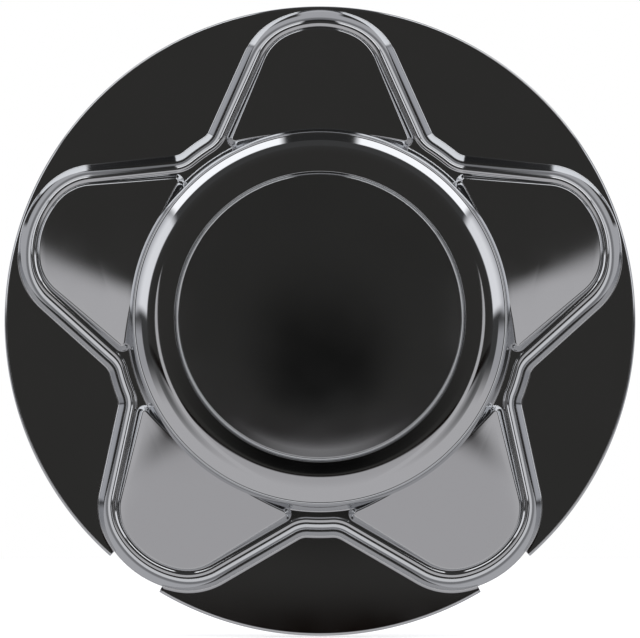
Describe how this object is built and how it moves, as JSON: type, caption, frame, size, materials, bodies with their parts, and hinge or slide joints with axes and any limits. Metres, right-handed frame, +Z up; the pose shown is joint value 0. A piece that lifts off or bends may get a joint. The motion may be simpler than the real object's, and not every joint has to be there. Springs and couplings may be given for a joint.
{
  "type": "wheel centre cap",
  "caption": "Round chromed wheel centre cap with a raised five-lobed star, domed hub, blank centre disc and a slotted snap ring behind.",
  "frame": {"origin": "on the wheel axis, level with the middle of the crest of the snap fingers", "axes": "+Y back along the wheel axis into the wheel, so the front faces -Y; +Z up through one lobe; +X to the right seen from the front"},
  "size_m": [0.19, 0.0487, 0.19],
  "materials": {
    "chrome_plate": "bright chrome plate on moulded plastic",
    "disc_chrome": "bright chrome plate, blank badge place",
    "spring_steel": "drawn spring steel wire"
  },
  "bodies": {
    "root": {"cap_shell": "chrome_plate", "centre_disc": "disc_chrome", "retaining_ring": "spring_steel"}
  },
  "joints": []
}
